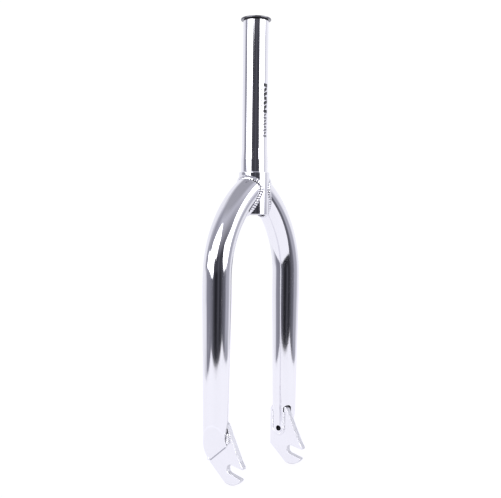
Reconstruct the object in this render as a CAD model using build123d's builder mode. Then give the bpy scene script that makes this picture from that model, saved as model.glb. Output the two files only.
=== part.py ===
"""BMX fork: steerer, two tapered legs, slotted dropouts, welds and a screwed preload cap.

Millimetres. +Z runs up the steerer, the wheel axle lies along X and the fork faces -Y.
The origin is the middle of the ledge that the crown race sits on.
"""

from build123d import *
import os
from math import acos, cos, pi, sin, sqrt

# Steerer, one machined tube
steerer_r = 28.6 / 2
race_seat_r = 30.0 / 2
shoulder_r = 34.6 / 2
steerer_top = 169.0
race_seat_top = 13.5
race_taper_top = 26.0
shoulder_bottom = -48.0
ledge_edge_r = 1.3
bore_r = 12.1
thread_bore_r = 11.25
thread_depth = 20.0

# Preload cap and its washer
thread_r = 11.20
cap_r = 34.2 / 2
cap_thickness = 1.8
cap_skirt = 14.0
cap_hole_r = 7.5
cap_hex = 12.0
washer_r = 13.8
washer_thickness = 1.0
washer_bore_r = 11.30
face_gap = 0.02

# Legs
leg_x = 60.4
leg_r = 31.8 / 2
leg_wall = 2.0
bend_r = 117.5
bend_z = -117.5
bend_turn = 61.0
taper_start = -140.0
tip_z = -330.0
tip_r = 12.7
tip_wall = 1.5

# Dropout plates
plate_inner_x = 100.0 / 2
plate_thickness = 6.0
plate_mid_x = plate_inner_x + plate_thickness / 2
plate_outer_x = plate_inner_x + plate_thickness
rear_y = 12.3
plate_top = -273.0
heel_top = (rear_y, -319.6)
heel = (-9.5, -337.6)
lower_lip = (-33.6, -329.6)
nose_tip = (-30.9, -311.2)
nose_root = (-14.2, -279.0)
axle_y = -17.9
axle_z = -322.0
axle_slot = 10.0
slot_reach = 24.0
slot_fall = 10.5
slot_flare = 1.4
lip_r = 2.0
plate_edge_r = 0.7

# Leg tips around the plates
tube_slot = 8.0
tube_slot_top = -271.4
bevel_z = -308.6
bevel_rise_out = 1.59
bevel_rise_front = 0.80
end_plate = 2.0
inner_end_z = -298.6
inner_end_r = 7.1
vent_r = 3.2
vent_y = -1.8
vent_z = -299.0

# Weld beads
crown_bead_r = 2.5
crown_bead_lift = 0.5
crown_drops = 38
outer_bead_r = 2.4
outer_bead_x = plate_outer_x + 0.7
rear_bead_y = 13.1
rear_bead_top = -275.0
front_bead_y = -14.8
front_bead_top = -283.0
inner_bead_r = 1.8
inner_bead_x = plate_inner_x - 0.5
inner_bead_reach = inner_end_r + 0.9
inner_bead_top = -279.0


def saddle_point(angle):
    """Middle of the weld where the bent left leg meets the steerer shoulder, angle round the leg."""
    y = (leg_r + crown_bead_lift) * sin(angle)
    x = sqrt((shoulder_r + crown_bead_lift) ** 2 - y**2)
    reach = bend_r + (leg_r + crown_bead_lift) * cos(angle)
    turn = acos((x - (leg_x - bend_r)) / reach)
    return (x, y, bend_z + reach * sin(turn))


def bevel(inset=0.0):
    """Plane of the slanted end of the left leg, facing out, forward and down."""
    flat = Plane(
        origin=(plate_outer_x, 0, bevel_z),
        x_dir=(0, 1, -bevel_rise_front),
        z_dir=(bevel_rise_out, -bevel_rise_front, -1),
    )
    return flat.offset(-inset)


# Steerer tube: threaded top, race seat, ledge and the thick shoulder that the legs are welded to
with BuildPart() as steerer_tube:
    with BuildSketch(Plane.XZ) as wall:
        with BuildLine():
            Polyline(
                (thread_bore_r, steerer_top),
                (steerer_r, steerer_top),
                (steerer_r, race_taper_top),
                (race_seat_r, race_seat_top),
                (race_seat_r, 0),
                (shoulder_r, 0),
                (shoulder_r, shoulder_bottom),
                (bore_r, shoulder_bottom),
                (bore_r, steerer_top - thread_depth - 1),
                (thread_bore_r, steerer_top - thread_depth),
                close=True,
            )
        make_face()
    revolve(axis=Axis.Z)
    rims = steerer_tube.edges().filter_by(GeomType.CIRCLE)
    fillet(rims.group_by(Axis.Z)[0].sort_by(SortBy.RADIUS)[-1], radius=1.0)
    ledge_rim = steerer_tube.edges().filter_by(GeomType.CIRCLE).filter_by_position(Axis.Z, -0.1, 0.1)
    fillet(ledge_rim.sort_by(SortBy.RADIUS)[-1], radius=ledge_edge_r)
    mouth = steerer_tube.edges().filter_by(GeomType.CIRCLE).group_by(Axis.Z)[-1]
    chamfer(mouth, length=0.4)
steerer_tube.part.label = "steerer_tube"

# Washer under the cap, a flat ring a little narrower than the steerer
with BuildPart() as cap_washer:
    with BuildSketch(Plane.XY.offset(steerer_top + face_gap)):
        Circle(washer_r)
        Circle(washer_bore_r, mode=Mode.SUBTRACT)
    extrude(amount=washer_thickness)
cap_washer.part.label = "cap_washer"

# Preload cap: flange with a rounded rim, threaded skirt and a broached hexagon
flange_z = steerer_top + washer_thickness + 2 * face_gap
with BuildPart() as preload_cap:
    with BuildSketch(Plane.XY.offset(flange_z)):
        Circle(cap_r)
    extrude(amount=cap_thickness)
    fillet(preload_cap.edges().filter_by(GeomType.CIRCLE), radius=0.6)
    with BuildSketch(Plane.XY.offset(flange_z)):
        Circle(thread_r)
    extrude(amount=-cap_skirt)
    chamfer(preload_cap.edges().filter_by(GeomType.CIRCLE).sort_by(Axis.Z)[0], length=0.6)
    with BuildSketch(Plane.XY.offset(flange_z + cap_thickness)):
        RegularPolygon(radius=cap_hex / 2, side_count=6, major_radius=False)
    extrude(amount=-(cap_thickness + 3.0), mode=Mode.SUBTRACT)
    with BuildSketch(Plane.XY.offset(flange_z - cap_skirt)):
        Circle(cap_hole_r)
    extrude(amount=cap_skirt - 1.5, mode=Mode.SUBTRACT)
preload_cap.part.label = "preload_cap"

# The left leg without its hollow, used to shape what touches it
with BuildPart() as leg_solid:
    with BuildSketch(Plane.XY.offset(bend_z)):
        with Locations((leg_x, 0)):
            Circle(leg_r)
    revolve(axis=Axis((leg_x - bend_r, 0, bend_z), (0, -1, 0)), revolution_arc=bend_turn)
    with BuildSketch(Plane.XZ):
        with BuildLine():
            Polyline(
                (leg_x, bend_z),
                (leg_x + leg_r, bend_z),
                (leg_x + leg_r, taper_start),
                (leg_x + tip_r, tip_z),
                (leg_x, tip_z),
                close=True,
            )
        make_face()
    revolve(axis=Axis((leg_x, 0, 0), (0, 0, 1)))

# Left leg: tube bent in to the crown, tapered, slotted for the plate and cut off on a slant
with BuildPart() as leg_left:
    add(leg_solid.part)
    with BuildSketch(Plane.XY.offset(bend_z)):
        with Locations((leg_x, 0)):
            Circle(leg_r - leg_wall)
    revolve(
        axis=Axis((leg_x - bend_r, 0, bend_z), (0, -1, 0)),
        revolution_arc=bend_turn,
        mode=Mode.SUBTRACT,
    )
    with BuildSketch(Plane.XZ):
        with BuildLine():
            Polyline(
                (leg_x, bend_z),
                (leg_x + leg_r - leg_wall, bend_z),
                (leg_x + leg_r - leg_wall, taper_start),
                (leg_x + tip_r - tip_wall, tip_z),
                (leg_x, tip_z),
                close=True,
            )
        make_face()
    revolve(axis=Axis((leg_x, 0, 0), (0, 0, 1)), mode=Mode.SUBTRACT)
    with BuildSketch(Plane.XY.offset(-80)):
        Circle(shoulder_r)
    extrude(amount=100, mode=Mode.SUBTRACT)
    with BuildSketch(Plane.XZ):
        with Locations((plate_mid_x, tube_slot_top - 80)):
            SlotCenterToCenter(160 - tube_slot, tube_slot, rotation=90)
    extrude(amount=40, both=True, mode=Mode.SUBTRACT)
    with BuildSketch(bevel(end_plate)):
        Rectangle(120, 120)
    extrude(amount=60, mode=Mode.SUBTRACT)
    with BuildSketch(Plane.YZ.offset(plate_inner_x - 20)):
        with Locations((0, inner_end_z)):
            Rectangle(60, 60, align=(Align.CENTER, Align.MAX))
            Circle(inner_end_r, mode=Mode.SUBTRACT)
    extrude(amount=20 + plate_thickness / 2, mode=Mode.SUBTRACT)
    with BuildSketch(Plane.YZ.offset(plate_inner_x - 20)):
        with Locations((vent_y, vent_z)):
            Circle(vent_r)
    extrude(amount=20, mode=Mode.SUBTRACT)
leg_left.part.label = "leg_left"

# Flat plate that closes the slanted end outside the dropout
with BuildPart() as end_plate_left:
    with BuildSketch(bevel(end_plate)):
        Rectangle(120, 120)
    extrude(amount=end_plate)
    add(leg_solid.part, mode=Mode.INTERSECT)
    split(bisect_by=Plane.YZ.offset(plate_outer_x), keep=Keep.TOP)
end_plate_left.part.label = "end_plate_left"

# Dropout plate: straight back, rounded heel, nose in front and an open slot for the axle
with BuildPart() as dropout_left:
    with BuildSketch(Plane.YZ.offset(plate_inner_x)) as outline:
        with BuildLine():
            Polyline(nose_root, (-12.0, -275.0), (-9.8, plate_top), (8.4, plate_top))
            Polyline((8.4, plate_top), (rear_y, -277.5), heel_top, heel)
            ThreePointArc(heel, (-23.0, -338.2), lower_lip)
            Polyline(lower_lip, (-35.2, -317.2), nose_tip)
            ThreePointArc(nose_tip, (-23.7, -297.6), nose_root)
        make_face()
        fillet(outline.vertices().filter_by_position(Axis.Z, -320, -319), radius=6)
    extrude(amount=plate_thickness)
    slot_place = Plane.YZ.offset(plate_inner_x) * Location((axle_y, axle_z, 0), (0, 0, 180 + slot_fall))
    with BuildSketch(slot_place):
        Circle(axle_slot / 2)
        with BuildLine():
            Polyline(
                (0, axle_slot / 2),
                (slot_reach, axle_slot / 2 + slot_flare / 2),
                (slot_reach, -axle_slot / 2 - slot_flare / 2),
                (0, -axle_slot / 2),
                close=True,
            )
        make_face()
    extrude(amount=plate_thickness, mode=Mode.SUBTRACT)
    front_edges = dropout_left.edges().filter_by(Axis.X).filter_by_position(Axis.Y, -60, -30)
    fillet(front_edges, radius=lip_r / 2)
    faces = dropout_left.faces().filter_by(Axis.X)
    fillet(faces.edges(), radius=plate_edge_r)
dropout_left.part.label = "dropout_left"

# Weld round the saddle joint: overlapping drops sunk into both the leg and the steerer shoulder
with BuildLine():
    seam_curve = Spline([saddle_point(2 * pi * step / 24) for step in range(24)], periodic=True)
with BuildPart() as crown_weld_left:
    with Locations([seam_curve @ (drop / crown_drops) for drop in range(crown_drops)]):
        Sphere(crown_bead_r, rotation=(45, 0, 0))
crown_weld_left.part.label = "crown_weld_left"


def outer_bead(y, top):
    """Bead between the slotted tube and the plate's outer face, from its top down to the slant."""
    with BuildPart() as bead:
        with BuildSketch(Plane.XY.offset(top)):
            with Locations((outer_bead_x, y)):
                Circle(outer_bead_r)
        extrude(amount=-50)
        with Locations((outer_bead_x, y, top)):
            Sphere(outer_bead_r)
        with BuildSketch(bevel()):
            Rectangle(120, 120)
        extrude(amount=60, mode=Mode.SUBTRACT)
        add(leg_left.part, mode=Mode.SUBTRACT)
        add(end_plate_left.part, mode=Mode.SUBTRACT)
        add(dropout_left.part, mode=Mode.SUBTRACT)
    return bead


front_weld_left = outer_bead(front_bead_y, front_bead_top)
front_weld_left.part.label = "front_weld_left"
rear_weld_left = outer_bead(rear_bead_y, rear_bead_top)
rear_weld_left.part.label = "rear_weld_left"

# Weld bead down, round and up again where the leg's inner sliver ends on the plate's inner face
with BuildPart() as inner_weld_left:
    with BuildLine(Plane.YZ.offset(inner_bead_x)) as path:
        Line((-inner_bead_reach, inner_bead_top), (-inner_bead_reach, inner_end_z))
        ThreePointArc(
            (-inner_bead_reach, inner_end_z),
            (0, inner_end_z - inner_bead_reach),
            (inner_bead_reach, inner_end_z),
        )
        Line((inner_bead_reach, inner_end_z), (inner_bead_reach, inner_bead_top))
    with BuildSketch(Plane(origin=path.line @ 0, z_dir=path.line % 0)):
        Circle(inner_bead_r)
    sweep()
    with Locations(path.line @ 0, path.line @ 1):
        Sphere(inner_bead_r)
    add(leg_left.part, mode=Mode.SUBTRACT)
    add(dropout_left.part, mode=Mode.SUBTRACT)
inner_weld_left.part.label = "inner_weld_left"


def mirrored(piece):
    """The right-hand twin of a left-hand piece."""
    with BuildPart() as twin:
        mirror(piece.part, about=Plane.YZ)
    twin.part.label = piece.part.label.replace("_left", "_right")
    return twin


left_pieces = [
    leg_left,
    end_plate_left,
    dropout_left,
    crown_weld_left,
    front_weld_left,
    rear_weld_left,
    inner_weld_left,
]
right_pieces = [mirrored(piece) for piece in left_pieces]

os.makedirs("parts", exist_ok=True)
for piece in [steerer_tube, cap_washer, preload_cap] + left_pieces + right_pieces:
    export_step(piece.part, f"parts/{piece.part.label}.step")
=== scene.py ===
"""Chromed BMX fork over a pale studio floor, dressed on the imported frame.

Metres. +Z runs up the steerer, the wheel axle lies along X and the fork faces -Y.
"""

import bmesh
import bpy
from math import acos, cos, pi, radians, sin, sqrt, tau
from mathutils import Matrix, Vector, noise


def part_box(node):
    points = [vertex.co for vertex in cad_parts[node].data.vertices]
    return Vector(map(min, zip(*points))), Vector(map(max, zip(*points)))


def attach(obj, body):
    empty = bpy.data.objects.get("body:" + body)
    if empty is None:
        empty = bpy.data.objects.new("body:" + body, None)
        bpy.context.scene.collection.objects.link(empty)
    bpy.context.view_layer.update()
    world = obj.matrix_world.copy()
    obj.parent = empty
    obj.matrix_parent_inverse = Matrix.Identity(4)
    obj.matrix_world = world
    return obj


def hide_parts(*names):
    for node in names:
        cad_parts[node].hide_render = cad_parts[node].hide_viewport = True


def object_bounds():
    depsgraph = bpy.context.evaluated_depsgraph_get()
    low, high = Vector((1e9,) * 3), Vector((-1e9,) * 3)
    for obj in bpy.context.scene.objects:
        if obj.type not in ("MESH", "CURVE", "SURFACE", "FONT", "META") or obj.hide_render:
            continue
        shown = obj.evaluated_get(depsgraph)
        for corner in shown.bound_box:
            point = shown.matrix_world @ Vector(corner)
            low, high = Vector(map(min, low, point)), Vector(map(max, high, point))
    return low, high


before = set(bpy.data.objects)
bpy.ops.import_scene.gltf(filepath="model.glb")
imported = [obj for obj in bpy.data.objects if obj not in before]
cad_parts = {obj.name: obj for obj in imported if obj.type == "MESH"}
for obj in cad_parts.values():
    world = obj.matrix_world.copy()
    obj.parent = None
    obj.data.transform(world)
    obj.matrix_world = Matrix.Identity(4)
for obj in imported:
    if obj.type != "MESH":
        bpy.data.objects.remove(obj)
size_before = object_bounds()

# Sizes read from the frame
STEERER_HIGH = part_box("steerer_tube")[1]
LEG_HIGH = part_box("leg_left")[1]
PLATE_LOW, PLATE_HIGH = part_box("dropout_left")
CAP_LOW, CAP_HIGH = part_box("preload_cap")
SHOULDER_R = STEERER_HIGH.x
LEG_R = LEG_HIGH.y
LEG_X = LEG_HIGH.x - LEG_R

# Sizes the boxes don't give
STEERER_R = 0.0143
LEG_BEND_R = 0.1175
LEG_BEND_Z = -0.1175
BEVEL_Z = -0.3086
BEVEL_NORMAL = Vector((1.59, -0.80, -1.0)).normalized()
INNER_END_Z = -0.2986
INNER_END_R = 0.0071
INNER_BEAD_TOP = -0.279
REAR_BEAD_Y = 0.0131
REAR_BEAD_TOP = -0.2750
FRONT_BEAD_Y = -0.0148
FRONT_BEAD_TOP = -0.2830
TIP_R = 0.0129
VENT_R = 0.00315
VENT_Y = -0.0018
VENT_Z = -0.2990
THREAD_PITCH = 0.0015
THREAD_DEPTH = 0.00055
SKIRT_R = 0.01118
SKIRT_HOLLOW_R = 0.0075
HEXAGON_HALF_WIDTH = 0.0060
HEXAGON_DEPTH = 0.0022
FLANGE = 0.0018
FLANGE_ROUND = 0.0006
CAP_STEPS = 192

# Weld beads: radius, length of one drop, and how far the middle stands off the metal
CROWN_BEAD_R, CROWN_DROP, CROWN_LIFT = 0.0034, 0.0030, 0.0004
OUTER_BEAD_R, OUTER_DROP, OUTER_LIFT = 0.0022, 0.0021, 0.0007
INNER_BEAD_R, INNER_DROP, INNER_LIFT = 0.0018, 0.0019, 0.0003
SEAM_BEAD_R, SEAM_DROP, SEAM_LIFT = 0.0007, 0.0011, 0.0002

# Columns of marks: degrees from the camera's side, lowest, highest, how many, width, height
UPPER_MARKS = (53, 0.0675, 0.0965, 7, 0.0070, 0.0036)
LOWER_MARKS = (52, 0.0400, 0.0635, 8, 0.0060, 0.0022)
THIN_MARKS = (30, 0.0730, 0.0970, 9, 0.0018, 0.0016)
INK_THICKNESS = 0.00003

# Where the camera stands
VIEW_TURN = radians(50.15)
VIEW_DISTANCE = 0.9085
VIEW_HEIGHT = -0.06185
VIEW_AIM_TURN = radians(49.94)
VIEW_DIP = radians(1.566)
VIEW_ROLL = radians(0.66)
FOCAL_PER_WIDTH = 802.8 / 501

# Light: the backdrop only the camera sees, and the room the chrome reflects
BACKDROP = (1.0, 1.0, 1.0)
BACKDROP_STRENGTH = 1.05
ROOM_STRENGTH = 1.08
CEILING = (0.36, 0.36, 0.41)
GLOW = (3.0, 3.0, 3.1)
SOFTBOX_EDGE = 0.018
FLOOR_GAP = 0.0005

# Soft panels: name, degrees from the camera's side, height, size, power
PANELS = [("key_panel", -70, 0.7, 0.9, 5.0), ("fill_panel", 75, 0.5, 0.9, 4.0)]
PANEL_DISTANCE = 1.3
PANEL_AIM = Vector((0, 0, -0.1))


# ---------------------------------------------------------------- materials


class Nodes:
    """A short way to add nodes to a material and join them."""

    def __init__(self, tree):
        self.tree = tree

    def add(self, kind, **values):
        node = self.tree.nodes.new("ShaderNode" + kind)
        for name, value in values.items():
            if hasattr(node, name):
                setattr(node, name, value)
            else:
                node.inputs[name.replace("_", " ")].default_value = value
        return node

    def join(self, source, target):
        self.tree.links.new(source, target)

    def noise(self, place, scale, detail=3.0, stretch=(1, 1, 1)):
        spread = self.add("Mapping")
        spread.inputs["Scale"].default_value = stretch
        self.join(place, spread.inputs["Vector"])
        speckle = self.add("TexNoise")
        speckle.inputs["Scale"].default_value = scale
        speckle.inputs["Detail"].default_value = detail
        self.join(spread.outputs["Vector"], speckle.inputs["Vector"])
        return speckle.outputs["Fac"]

    def remap(self, value, low, high, to_low, to_high):
        change = self.add("MapRange")
        change.inputs["From Min"].default_value = low
        change.inputs["From Max"].default_value = high
        change.inputs["To Min"].default_value = to_low
        change.inputs["To Max"].default_value = to_high
        self.join(value, change.inputs["Value"])
        return change.outputs["Result"]

    def mix(self, share, first, second):
        """First where share is 0 and second where it is 1. Each is a colour or an output."""
        blend = self.add("Mix", data_type="RGBA")
        for socket, value in ((blend.inputs[6], first), (blend.inputs[7], second)):
            if isinstance(value, tuple):
                socket.default_value = (*value, 1.0)
            else:
                self.join(value, socket)
        self.join(share, blend.inputs[0])
        return blend.outputs[2]

    def sum(self, first, second, operation="ADD"):
        """The two added, or put together by another operation of the maths node."""
        node = self.add("Math", operation=operation)
        for socket, value in ((node.inputs[0], first), (node.inputs[1], second)):
            if isinstance(value, (int, float)):
                socket.default_value = value
            else:
                self.join(value, socket)
        return node.outputs[0]

    def relief(self, height, strength, distance):
        """Surface normals raised and sunk by a height output."""
        bump = self.add("Bump")
        bump.inputs["Strength"].default_value = strength
        bump.inputs["Distance"].default_value = distance
        self.join(height, bump.inputs["Height"])
        return bump.outputs["Normal"]


def new_material(name):
    """A material with one Principled shader, and its node helper."""
    material = bpy.data.materials.new(name)
    material.use_nodes = True
    return material, Nodes(material.node_tree), material.node_tree.nodes["Principled BSDF"]


def chrome(
    name, tint, gloss=0.014, grain=0.0, scratch=0.5, crevice=0.006, wear=0.35, cut_edges=False
):
    """Chrome plate: faint ripple, fine scratches, rubbed edges, painted shade darkening the
    creases and rougher dirt there.

    On cut plate the rims, which don't face along X, are also duller and greyer.
    """
    material, nodes, shader = new_material(name)
    place = nodes.add("TexCoord").outputs["Object"]
    cloud = nodes.noise(place, 38.0, 4.0)
    fine = nodes.noise(place, 900.0, 2.0)
    scratches = nodes.noise(place, 420.0, 3.0, stretch=(1.0, 1.0, 0.06))
    hairline = nodes.remap(scratches, 0.66, 0.74, 0.0, scratch)

    # Ambient occlusion paints shade into creases: the colour darkens there, and the roughness
    # rises as for dirt
    creases = nodes.add("AmbientOcclusion", samples=8)
    creases.inputs["Distance"].default_value = crevice
    crease_shade_and_grime = nodes.remap(creases.outputs["AO"], 0.10, 0.55, 1.0, 0.0)
    edges = nodes.add("AmbientOcclusion", samples=8, inside=True)
    edges.inputs["Distance"].default_value = 0.0012
    rub = nodes.remap(edges.outputs["AO"], 0.50, 0.85, 0.0, 1.0)

    shade = nodes.mix(cloud, tint, tuple(min(1.0, c * 1.06) for c in tint))
    worn = nodes.mix(nodes.sum(rub, wear, "MULTIPLY"), shade, (0.80, 0.79, 0.80))
    if cut_edges:
        facing = nodes.add("SeparateXYZ")
        nodes.join(nodes.add("TexCoord").outputs["Normal"], facing.inputs["Vector"])
        rim = nodes.remap(nodes.sum(facing.outputs["X"], 0.0, "ABSOLUTE"), 0.35, 0.8, 1.0, 0.0)
        worn = nodes.mix(rim, worn, (0.62, 0.62, 0.65))
    # Painted shade: the colour goes nearly black in creases and recesses
    crease_shaded_colour = nodes.mix(nodes.sum(crease_shade_and_grime, 0.82, "MULTIPLY"), worn, (0.055, 0.05, 0.052))
    nodes.join(crease_shaded_colour, shader.inputs["Base Color"])

    polish = nodes.remap(cloud, 0.3, 0.7, gloss * 0.6, gloss * 1.5)
    rough = nodes.sum(polish, nodes.sum(hairline, 0.16, "MULTIPLY"))
    rough = nodes.sum(rough, nodes.sum(crease_shade_and_grime, 0.30, "MULTIPLY"))
    rough = nodes.sum(rough, nodes.sum(rub, 0.06, "MULTIPLY"))
    if cut_edges:
        rough = nodes.sum(rough, nodes.sum(rim, 0.22, "MULTIPLY"))
    nodes.join(rough, shader.inputs["Roughness"])
    shader.inputs["Metallic"].default_value = 1.0

    height = nodes.sum(fine, nodes.sum(scratches, 0.6, "MULTIPLY"))
    if grain:
        height = nodes.sum(height, nodes.sum(nodes.noise(place, 260.0, 4.0), grain, "MULTIPLY"))
    nodes.join(nodes.relief(height, 0.05, 0.00004), shader.inputs["Normal"])
    return material


def nylon(name, tint):
    """Moulded nylon: matt, with a fine grain and lighter scuffs."""
    material, nodes, shader = new_material(name)
    place = nodes.add("TexCoord").outputs["Object"]
    grain = nodes.noise(place, 1400.0, 3.0)
    scuff = nodes.remap(nodes.noise(place, 160.0, 4.0), 0.55, 0.75, 0.0, 1.0)
    nodes.join(nodes.mix(scuff, tint, tuple(c + 0.05 for c in tint)), shader.inputs["Base Color"])
    nodes.join(nodes.remap(grain, 0.3, 0.7, 0.38, 0.58), shader.inputs["Roughness"])
    nodes.join(nodes.relief(grain, 0.25, 0.00006), shader.inputs["Normal"])
    return material


def printed_ink(name, tint):
    """Thin dark print with worn patches, lighter and less glossy."""
    material, nodes, shader = new_material(name)
    place = nodes.add("TexCoord").outputs["Object"]
    wear = nodes.remap(nodes.noise(place, 520.0, 4.0), 0.52, 0.72, 0.0, 1.0)
    nodes.join(nodes.mix(wear, tint, tuple(c + 0.09 for c in tint)), shader.inputs["Base Color"])
    nodes.join(nodes.remap(wear, 0.0, 1.0, 0.32, 0.5), shader.inputs["Roughness"])
    nodes.join(nodes.relief(wear, 0.2, 0.00002), shader.inputs["Normal"])
    return material


CHROME_TUBE = chrome("chrome_tube", (0.86, 0.86, 0.89))
CHROME_LEG = chrome("chrome_leg", (0.86, 0.86, 0.89), scratch=0.6)
CHROME_PLATE = chrome(
    "chrome_plate", (0.85, 0.85, 0.885), gloss=0.04, grain=0.3, scratch=0.8, cut_edges=True
)
CHROME_WELD = chrome("chrome_weld", (0.82, 0.82, 0.85), gloss=0.05, grain=1.0, crevice=0.0025)
CHROME_SEAM = chrome("chrome_seam", (0.84, 0.84, 0.87), gloss=0.05, grain=0.4, crevice=0.0012)
# Darker chrome for the end seam: partly the weld's own tone, partly painted shade in the crease
# where the slanted end meets the plate
SEAM_WITH_CREASE_SHADE = chrome(
    "seam_with_crease_shade", (0.42, 0.42, 0.46), gloss=0.10, grain=0.6, crevice=0.0012, wear=0.1
)
# Near-black material that paints the shade inside the vent holes
VENT_SHADE_BLACK = chrome(
    "vent_shade_black", (0.02, 0.02, 0.024), gloss=0.35, grain=1.0, scratch=0.2, wear=0.0
)
BLACK_CAP = chrome("black_cap", (0.13, 0.13, 0.145), gloss=0.03, crevice=0.002, wear=0.03)
BLACK_NYLON = nylon("black_nylon", (0.02, 0.02, 0.022))
BLACK_INK = printed_ink("black_ink", (0.012, 0.012, 0.015))
GREY_INK = printed_ink("grey_ink", (0.16, 0.16, 0.18))


def dress(node, material):
    """Gives a CAD node its material."""
    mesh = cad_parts[node].data
    mesh.materials.clear()
    mesh.materials.append(material)


# ---------------------------------------------------------------- meshes


def piece_from(name, mesh_maker, material, body="fork", stands_for=()):
    """Makes an object from a bmesh filled by mesh_maker and lets it ride on a CAD body."""
    mesh = bpy.data.meshes.new(name)
    work = bmesh.new()
    mesh_maker(work)
    bmesh.ops.recalc_face_normals(work, faces=work.faces)
    for face in work.faces:
        face.smooth = True
    work.to_mesh(mesh)
    work.free()
    mesh.materials.append(material)
    made = bpy.data.objects.new(name, mesh)
    bpy.context.scene.collection.objects.link(made)
    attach(made, body)
    if stands_for:
        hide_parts(*stands_for)
    return made


def join_rings(work, first, second):
    """Faces between two rings of as many vertices."""
    count = len(first)
    for j in range(count):
        n = (j + 1) % count
        work.faces.new((first[j], first[n], second[n], second[j]))


def join_to_point(work, ring, point):
    """Faces from a ring of vertices to one more."""
    count = len(ring)
    for j in range(count):
        work.faces.new((ring[j], ring[(j + 1) % count], point))


def even_points(path, spacing, closed):
    """Points along a path of many points, evenly spaced by about spacing."""
    if closed:
        path = path + path[:1]
    lengths = [0.0]
    for a, b in zip(path, path[1:]):
        lengths.append(lengths[-1] + (b - a).length)
    count = max(4, round(lengths[-1] / spacing))
    points, i = [], 0
    for k in range(count if closed else count + 1):
        want = lengths[-1] * k / count
        while i < len(lengths) - 2 and lengths[i + 1] < want:
            i += 1
        share = (want - lengths[i]) / max(lengths[i + 1] - lengths[i], 1e-9)
        points.append(path[i].lerp(path[i + 1], share))
    return points


def weld_bead(work, path, face_out, radius, closed=False, drop=0.0024, rise=0.82, seed=0):
    """A laid weld: overlapping drops with bowed ripples, raised towards face_out(point)."""
    points = even_points(path, drop / 9, closed)
    count, around = len(points), 20
    step = (points[1] - points[0]).length
    rings = []
    for k, point in enumerate(points):
        if closed:
            along = points[(k + 1) % count] - points[k - 1]
        else:
            along = points[min(k + 1, count - 1)] - points[max(k - 1, 0)]
        along.normalize()
        out = face_out(point)
        out = (out - along * out.dot(along)).normalized()
        side = along.cross(out)
        travel = k * step
        wander = noise.noise(Vector((travel * 160, seed, 0.0)))
        swell = 1.0 + 0.10 * wander
        taper = 1.0
        if not closed:
            near_end = min(k, count - 1 - k) * step
            taper = sqrt(max(0.0, 1 - max(0.0, 1 - near_end / radius) ** 2))
        ring = []
        for j in range(around):
            angle = tau * j / around
            bow = 0.42 * (1 - cos(angle))
            stray = 0.25 * noise.noise(Vector((travel * 90, seed, 5.0)))
            phase = (travel / drop + stray + bow) % 1.0
            ripple = 1.0 - 0.16 * (1 - sin(pi * phase) ** 0.7)
            reach = radius * swell * ripple * max(taper, 0.02)
            flat = out * cos(angle) * rise + side * sin(angle)
            ring.append(work.verts.new(point + flat * reach))
        rings.append(ring)
    for first, second in zip(rings, rings[1:] + rings[:1] if closed else rings[1:]):
        join_rings(work, first, second)
    if not closed:
        work.faces.new(rings[0])
        work.faces.new(rings[-1])


def mirror_x(work):
    """Turns a left piece into a right one."""
    for vert in work.verts:
        vert.co.x = -vert.co.x


# ---------------------------------------------------------------- crown welds


def saddle_point(angle, lift):
    """A point of the seam where the bent left leg meets the steerer shoulder."""
    y = (LEG_R + lift) * sin(angle)
    x = sqrt((SHOULDER_R + lift) ** 2 - y * y)
    reach = LEG_BEND_R + (LEG_R + lift) * cos(angle)
    turn = acos((x - (LEG_X - LEG_BEND_R)) / reach)
    return Vector((x, y, LEG_BEND_Z + reach * sin(turn)))


def leg_axis_point(point):
    """The nearest point of the bent left leg's centre line."""
    centre = Vector((LEG_X - LEG_BEND_R, 0, LEG_BEND_Z))
    arm = Vector((point.x - centre.x, 0, point.z - centre.z)).normalized()
    return centre + arm * LEG_BEND_R


def away_from_joint(point):
    """Between straight out of the leg and straight out of the shoulder."""
    from_leg = (point - leg_axis_point(point)).normalized()
    from_shoulder = Vector((point.x, point.y, 0)).normalized()
    return (from_leg + from_shoulder).normalized()


def crown_weld(work):
    """Bead all round the leg's end on the steerer's shoulder."""
    path = [saddle_point(tau * k / 240, CROWN_LIFT) for k in range(240)]
    weld_bead(
        work, path, away_from_joint, CROWN_BEAD_R, closed=True, drop=CROWN_DROP, rise=0.5, seed=3
    )


# ---------------------------------------------------------------- dropout welds


def bevel_height(x, y):
    """Height of the slanted leg end at a place."""
    fall = (x - PLATE_HIGH.x) * BEVEL_NORMAL.x + y * BEVEL_NORMAL.y
    return BEVEL_Z + fall / -BEVEL_NORMAL.z


def outer_weld(y, top):
    """Bead between the slotted tube and the plate, from its top down to the slanted end."""

    def fill(work):
        x = PLATE_HIGH.x + OUTER_LIFT
        low = bevel_height(x, y)
        path = [Vector((x, y, top + (low - top) * k / 60)) for k in range(61)]
        out = Vector((0.013, 0.8 * y, 0))
        weld_bead(work, path, lambda p: out, OUTER_BEAD_R, drop=OUTER_DROP, seed=y * 900)

    return fill


def inner_weld(work):
    """Bead down, round and up again where the leg's inner sliver ends on the plate."""
    x = PLATE_LOW.x - INNER_LIFT
    reach = INNER_END_R + 0.0009
    top, low = INNER_BEAD_TOP, INNER_END_Z
    path = [Vector((x, -reach, top + (low - top) * k / 20)) for k in range(20)]
    for k in range(41):
        turn = pi * k / 40
        path.append(Vector((x, -reach * cos(turn), low - reach * sin(turn))))
    path += [Vector((x, reach, low + (top - low) * k / 20)) for k in range(1, 21)]
    weld_bead(
        work, path, lambda p: Vector((-1, p.y * 40, 0)), INNER_BEAD_R, drop=INNER_DROP, seed=11
    )


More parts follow.
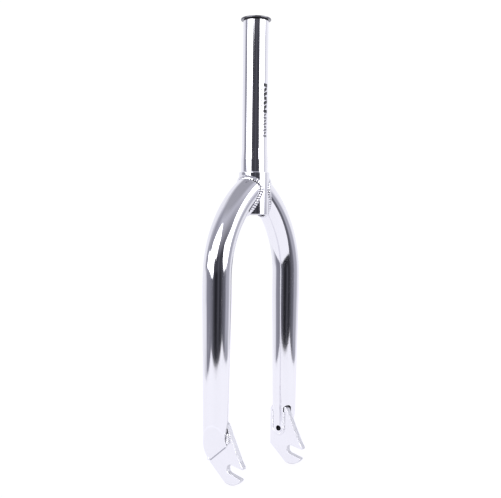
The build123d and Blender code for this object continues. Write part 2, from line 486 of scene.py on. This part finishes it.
def end_seam(work):
    """Fine weld along the line where the slanted end closes on the plate's outer face; its darker
    chrome also paints the shade in that crease.
    """
    x = PLATE_HIGH.x + SEAM_LIFT
    reach = sqrt(TIP_R**2 - (LEG_X - PLATE_HIGH.x) ** 2) - 0.0008
    path = []
    for k in range(61):
        y = reach * (k / 30 - 1)
        path.append(Vector((x, y, bevel_height(x, y))))
    out = Vector((1, -0.3, -0.6))
    weld_bead(work, path, lambda p: out, SEAM_BEAD_R, drop=SEAM_DROP, seed=7)


def vent_shade_disc(work):
    """A near-black disc of painted shade at the bottom of the vent hole, a shallow dish."""
    x = PLATE_LOW.x - 0.0001
    rings = []
    for radius, sink in ((VENT_R, 0.0), (0.6 * VENT_R, 0.00004), (0.2 * VENT_R, 0.00006)):
        ring = []
        for j in range(32):
            angle = tau * j / 32
            y = VENT_Y + radius * cos(angle)
            z = VENT_Z + radius * sin(angle)
            ring.append(work.verts.new((x + sink, y, z)))
        rings.append(ring)
    for first, second in zip(rings, rings[1:]):
        join_rings(work, first, second)
    work.faces.new(rings[-1])


def both_sides(name, fill, material, replaces=True):
    """The left piece and its mirrored twin, each in place of its CAD stand-in if it has one."""

    def mirrored(work):
        fill(work)
        mirror_x(work)

    for side, maker in (("left", fill), ("right", mirrored)):
        solids = [f"{name}_{side}"] if replaces else []
        piece_from(f"{name}_piece_{side}", maker, material, stands_for=solids)


# ---------------------------------------------------------------- preload cap


def lathe(work, profile):
    """Turns (radius, height, thread share) steps into an open round skin about Z."""
    rings = []
    for radius, height, thread in profile:
        ring = []
        for j in range(CAP_STEPS):
            angle = tau * j / CAP_STEPS
            phase = (height / THREAD_PITCH - angle / tau) % 1.0
            reach = radius - thread * THREAD_DEPTH * abs(2 * phase - 1)
            ring.append(work.verts.new((reach * cos(angle), reach * sin(angle), height)))
        rings.append(ring)
    for first, second in zip(rings, rings[1:]):
        join_rings(work, first, second)
    return rings


def cap_profile():
    """The cap's skin from the hexagon out over the flange, down the thread and up the hollow."""
    top = CAP_HIGH.z
    under = top - FLANGE
    low = CAP_LOW.z
    rim = CAP_HIGH.x
    round_r = FLANGE_ROUND
    profile = [(0.0070, top - 0.0001, 0), (0.0072, top, 0)]
    profile += [(0.0130, top, 0), (0.0150, top - 0.00005, 0)]
    for k in range(7):
        turn = pi / 2 * k / 6
        radius = rim - round_r + round_r * sin(turn)
        profile.append((radius, top - round_r + round_r * cos(turn), 0))
    for k in range(7):
        turn = pi / 2 * k / 6
        radius = rim - round_r + round_r * cos(turn)
        profile.append((radius, under + round_r - round_r * sin(turn), 0))
    profile += [(SKIRT_R + 0.0004, under, 0), (SKIRT_R - 0.0006, under - 0.0003, 0)]
    rows = 96
    for k in range(rows + 1):
        height = under - 0.0009 - (under - 0.0009 - low - 0.0006) * k / rows
        fade = min(1.0, k / 8, (rows - k) / 6 + 0.15)
        profile.append((SKIRT_R, height, fade))
    profile += [(SKIRT_R - 0.0006, low, 0), (0.0077, low, 0)]
    profile += [(SKIRT_HOLLOW_R, low + 0.0003, 0), (SKIRT_HOLLOW_R, under - 0.0015, 0)]
    return profile


def preload_cap(work):
    """Flange with rounded rim, threaded skirt and a deep hexagon with a small lead-in."""
    rings = lathe(work, cap_profile())
    hexagon = []
    floor = CAP_HIGH.z - HEXAGON_DEPTH
    for height, half in ((CAP_HIGH.z - 0.0005, 0.00602), (floor, HEXAGON_HALF_WIDTH)):
        ring = []
        for j in range(CAP_STEPS):
            angle = tau * j / CAP_STEPS
            local = (angle + pi / 6) % (pi / 3) - pi / 6
            radius = half / cos(local)
            ring.append(work.verts.new((radius * cos(angle), radius * sin(angle), height)))
        hexagon.append(ring)
    floor_middle = work.verts.new((0, 0, floor))
    join_rings(work, rings[0], hexagon[0])
    join_rings(work, hexagon[0], hexagon[1])
    join_to_point(work, hexagon[1], floor_middle)
    roof_middle = work.verts.new((0, 0, CAP_HIGH.z - FLANGE - 0.0013))
    join_to_point(work, rings[-1], roof_middle)


# ---------------------------------------------------------------- printed marks


def marks(turn, low, high, count, wide, tall):
    """A column of plain bars and slanted blocks printed up the steerer.

    It stands turn degrees to the right of the side that faces the camera.
    """

    def fill(work):
        towards = -pi / 2 - VIEW_TURN + radians(turn)
        radius = STEERER_R + INK_THICKNESS
        columns = 8
        for k in range(count):
            height = low + (high - low) * k / (count - 1)
            width = wide * (0.75 if k % 2 else 1.0)
            slant = 0.0 if k % 3 == 0 else 0.4 * tall
            lines = []
            for edge in (-0.5, 0.5):
                line = []
                for c in range(columns + 1):
                    share = c / columns - 0.5
                    angle = towards + width * share / STEERER_R
                    z = height + tall * edge + 2 * slant * share
                    line.append(work.verts.new((radius * cos(angle), radius * sin(angle), z)))
                lines.append(line)
            for c in range(columns):
                work.faces.new((lines[0][c], lines[0][c + 1], lines[1][c + 1], lines[1][c]))

    return fill


# ---------------------------------------------------------------- studio


def camera_side(angle, height=0.0, distance=1.0):
    """A place round the fork: angle 0 is towards the camera, positive to the camera's right."""
    turn = -pi / 2 - VIEW_TURN + angle
    return Vector((distance * cos(turn), distance * sin(turn), height))


def sky_point(turn, rise):
    """Direction from degrees to the right of the camera's side and degrees above level."""
    flat = cos(radians(rise))
    return Vector((flat * cos(radians(turn)), flat * sin(radians(turn)), sin(radians(rise))))


def softbox(nodes, ray, corners):
    """1 inside a glowing panel given by its corners, in order round it, and 0 outside."""
    inside = None
    middle = sum((sky_point(*corner) for corner in corners), Vector())
    for first, second in zip(corners, corners[1:] + corners[:1]):
        wall = sky_point(*first).cross(sky_point(*second)).normalized()
        if wall.dot(middle) < 0:
            wall = -wall
        reach = nodes.add("VectorMath", operation="DOT_PRODUCT")
        nodes.join(ray, reach.inputs[0])
        reach.inputs[1].default_value = wall
        share = nodes.remap(reach.outputs["Value"], -SOFTBOX_EDGE, SOFTBOX_EDGE, 0.0, 1.0)
        inside = share if inside is None else nodes.sum(inside, share, "MULTIPLY")
    return inside


def ring_of_walls(nodes, around, stops):
    """Colour round the studio from (degrees, brightness) stops, bluer where it is darker."""
    walls = nodes.add("ValToRGB")
    ramp = walls.color_ramp
    while len(ramp.elements) < len(stops):
        ramp.elements.new(0.5)
    for element, (angle, bright) in zip(ramp.elements, stops):
        cast = 1.05 + 0.20 * (1 - bright)
        element.position = angle / 360 + 0.5
        element.color = (bright, bright, bright * cast, 1.0)
    nodes.join(around, walls.inputs["Fac"])
    return walls.outputs["Color"]


# Walls of the room and its ground: degrees to the right of the camera's side, brightness
LOW_WALLS = [
    (-180, 0.95), (-130, 0.88), (-100, 0.84), (-93, 0.62), (-88, 0.28), (-70, 0.25), (-45, 0.19),
    (-34, 0.14), (-24, 0.07), (-12, 0.022), (-3, 0.016), (6, 0.04), (14, 0.072), (22, 0.03),
    (30, 0.027), (40, 0.065), (55, 0.125), (66, 0.14), (74, 0.26), (84, 0.43), (95, 0.38),
    (108, 0.47), (120, 0.82), (180, 0.95),
]
MIDDLE_WALLS = [
    (-180, 0.92), (-112, 0.84), (-105, 0.36), (-90, 0.28), (-76, 0.30), (-50, 0.12), (-20, 0.055),
    (0, 0.05), (8, 0.09), (16, 0.05), (34, 0.055), (60, 0.20), (90, 0.86), (98, 0.62), (104, 0.66),
    (114, 0.88), (180, 0.95),
]
HIGH_WALLS = [
    (-180, 0.92), (-118, 0.84), (-102, 0.72), (-90, 0.46), (-78, 0.32), (-66, 0.36), (-40, 0.50),
    (0, 0.50), (40, 0.47), (60, 0.56), (85, 0.62), (115, 0.85), (180, 0.92),
]
GROUND = [
    (-180, 0.95), (-120, 0.88), (-95, 0.45), (-86, 0.24), (-40, 0.20), (-20, 0.06), (0, 0.02),
    (30, 0.03), (55, 0.10), (75, 0.12), (95, 0.14), (108, 0.25), (124, 0.75), (180, 0.95),
]

# Glowing boxes in front of them: corners as degrees to the right and degrees above level
LEFT_BOX_LOW = [(-80, 17), (-79, 6), (-38, -1), (-29, 0), (-27, 17)]
LEFT_BOX_HIGH = [(-66, 14), (-62, 27), (-31, 46), (-22, 45), (-5, 30), (-14, 14)]
RIGHT_BOX_LOW = [(36, 16), (39, 7), (52, 0), (80, 0), (88, 16)]
RIGHT_BOX_HIGH = [(56, 14), (61, 24), (78, 36), (96, 34), (92, 14)]


def make_world():
    """A dark studio round the camera, pale behind the fork, with glowing boxes and a grey ceiling.

    The camera itself sees a plain white backdrop.
    """
    world = bpy.data.worlds.new("studio")
    bpy.context.scene.world = world
    world.use_nodes = True
    nodes = Nodes(world.node_tree)
    world.node_tree.nodes.clear()
    turned = nodes.add("VectorRotate", rotation_type="Z_AXIS")
    turned.inputs["Angle"].default_value = pi / 2 + VIEW_TURN
    nodes.join(nodes.add("TexCoord").outputs["Generated"], turned.inputs["Vector"])
    ray = turned.outputs["Vector"]
    split = nodes.add("SeparateXYZ")
    nodes.join(ray, split.inputs["Vector"])
    turn = nodes.sum(split.outputs["Y"], split.outputs["X"], "ARCTAN2")
    around = nodes.remap(turn, -pi, pi, 0.0, 1.0)
    rings = (GROUND, LOW_WALLS, MIDDLE_WALLS, HIGH_WALLS)
    ground, low, middle, high = (ring_of_walls(nodes, around, stops) for stops in rings)

    def above(start, end):
        """0 below the first angle above level, 1 above the second."""
        return nodes.remap(split.outputs["Z"], sin(radians(start)), sin(radians(end)), 0.0, 1.0)

    low = nodes.mix(above(-14, -9), ground, low)
    walls = nodes.mix(above(0, 4), low, middle)
    room = nodes.mix(above(13, 46), walls, high)
    room = nodes.mix(above(50, 62), room, CEILING)
    boxes = None
    for corners in (LEFT_BOX_LOW, LEFT_BOX_HIGH, RIGHT_BOX_LOW, RIGHT_BOX_HIGH):
        glow = softbox(nodes, ray, corners)
        boxes = glow if boxes is None else nodes.sum(boxes, glow, "MAXIMUM")
    lit = nodes.mix(boxes, room, GLOW)
    light = nodes.add("Background")
    light.inputs["Strength"].default_value = ROOM_STRENGTH
    nodes.join(lit, light.inputs["Color"])
    plain = nodes.add("Background")
    plain.inputs["Color"].default_value = (*BACKDROP, 1.0)
    plain.inputs["Strength"].default_value = BACKDROP_STRENGTH
    pick = nodes.add("MixShader")
    nodes.join(nodes.add("LightPath").outputs["Is Camera Ray"], pick.inputs[0])
    nodes.join(light.outputs["Background"], pick.inputs[1])
    nodes.join(plain.outputs["Background"], pick.inputs[2])
    out = nodes.add("OutputWorld")
    nodes.join(pick.outputs["Shader"], out.inputs["Surface"])


def make_floor():
    """A white, faintly glowing sheet under the fork that ends short of the camera."""
    low = size_before[0].z - FLOOR_GAP
    mesh = bpy.data.meshes.new("floor")
    work = bmesh.new()
    front, left, right, back = 0.67, -0.58, 0.66, -3.0
    corners = [(front, left), (front, right), (back, right), (back, left)]
    turn = -pi / 2 - VIEW_TURN
    ring = []
    for forward, across in corners:
        x = forward * cos(turn) - across * sin(turn)
        y = forward * sin(turn) + across * cos(turn)
        ring.append(work.verts.new((x, y, low)))
    work.faces.new(ring)
    bmesh.ops.recalc_face_normals(work, faces=work.faces)
    work.to_mesh(mesh)
    work.free()
    floor = bpy.data.objects.new("floor", mesh)
    bpy.context.scene.collection.objects.link(floor)
    material = bpy.data.materials.new("floor_white")
    material.use_nodes = True
    nodes = Nodes(material.node_tree)
    shader = material.node_tree.nodes["Principled BSDF"]
    place = nodes.add("TexCoord").outputs["Object"]
    shade = nodes.mix(nodes.noise(place, 5.0), (0.05, 0.05, 0.05), (0.07, 0.07, 0.07))
    nodes.join(shade, shader.inputs["Base Color"])
    shader.inputs["Roughness"].default_value = 0.9
    shader.inputs["Specular IOR Level"].default_value = 0.1
    shader.inputs["Emission Color"].default_value = (0.975, 0.97, 1.05, 1.0)
    shader.inputs["Emission Strength"].default_value = 0.97
    mesh.materials.append(material)


def make_lights():
    """Two big soft panels beside the fork, which the chrome doesn't reflect."""
    for name, angle, height, size, power in PANELS:
        lamp = bpy.data.lights.new(name, "AREA")
        lamp.shape = "SQUARE"
        lamp.size = size
        lamp.energy = power
        thing = bpy.data.objects.new(name, lamp)
        thing.location = camera_side(radians(angle), height, PANEL_DISTANCE)
        aim = PANEL_AIM - thing.location
        thing.rotation_mode = "QUATERNION"
        thing.rotation_quaternion = aim.to_track_quat("-Z", "Y")
        thing.visible_glossy = False
        bpy.context.scene.collection.objects.link(thing)


def make_camera():
    """The camera off the fork's right front, a little above its middle and rolled a touch."""
    data = bpy.data.cameras.new("camera")
    data.sensor_width = 36.0
    data.lens = FOCAL_PER_WIDTH * data.sensor_width
    data.clip_start = 0.01
    data.clip_end = 50.0
    thing = bpy.data.objects.new("camera", data)
    bpy.context.scene.collection.objects.link(thing)
    level = cos(VIEW_DIP)
    look = Vector((sin(VIEW_AIM_TURN) * level, cos(VIEW_AIM_TURN) * level, -sin(VIEW_DIP)))
    thing.location = camera_side(0, VIEW_HEIGHT, VIEW_DISTANCE)
    upright = look.to_track_quat("-Z", "Y").to_matrix()
    thing.rotation_mode = "QUATERNION"
    thing.rotation_quaternion = (upright @ Matrix.Rotation(VIEW_ROLL, 3, "Z")).to_quaternion()
    bpy.context.scene.camera = thing


# ---------------------------------------------------------------- assembly

dress("steerer_tube", CHROME_TUBE)
dress("cap_washer", BLACK_NYLON)
for side in ("left", "right"):
    dress(f"leg_{side}", CHROME_LEG)
    dress(f"end_plate_{side}", CHROME_LEG)
    dress(f"dropout_{side}", CHROME_PLATE)

both_sides("crown_weld", crown_weld, CHROME_WELD)
both_sides("front_weld", outer_weld(FRONT_BEAD_Y, FRONT_BEAD_TOP), CHROME_WELD)
both_sides("rear_weld", outer_weld(REAR_BEAD_Y, REAR_BEAD_TOP), CHROME_WELD)
both_sides("inner_weld", inner_weld, CHROME_SEAM)
both_sides("end_seam", end_seam, SEAM_WITH_CREASE_SHADE, replaces=False)
# Painted shade: dark discs at the bottom of the vent holes
both_sides("vent_shade_disc", vent_shade_disc, VENT_SHADE_BLACK, replaces=False)
piece_from("preload_cap_turned", preload_cap, BLACK_CAP, "cap", ["preload_cap"])
piece_from("steerer_marks_upper", marks(*UPPER_MARKS), BLACK_INK)
piece_from("steerer_marks_lower", marks(*LOWER_MARKS), GREY_INK)
piece_from("steerer_marks_thin", marks(*THIN_MARKS), GREY_INK)

make_world()
make_floor()
make_lights()
make_camera()
bpy.context.scene.view_settings.view_transform = "Standard"
bpy.context.view_layer.update()
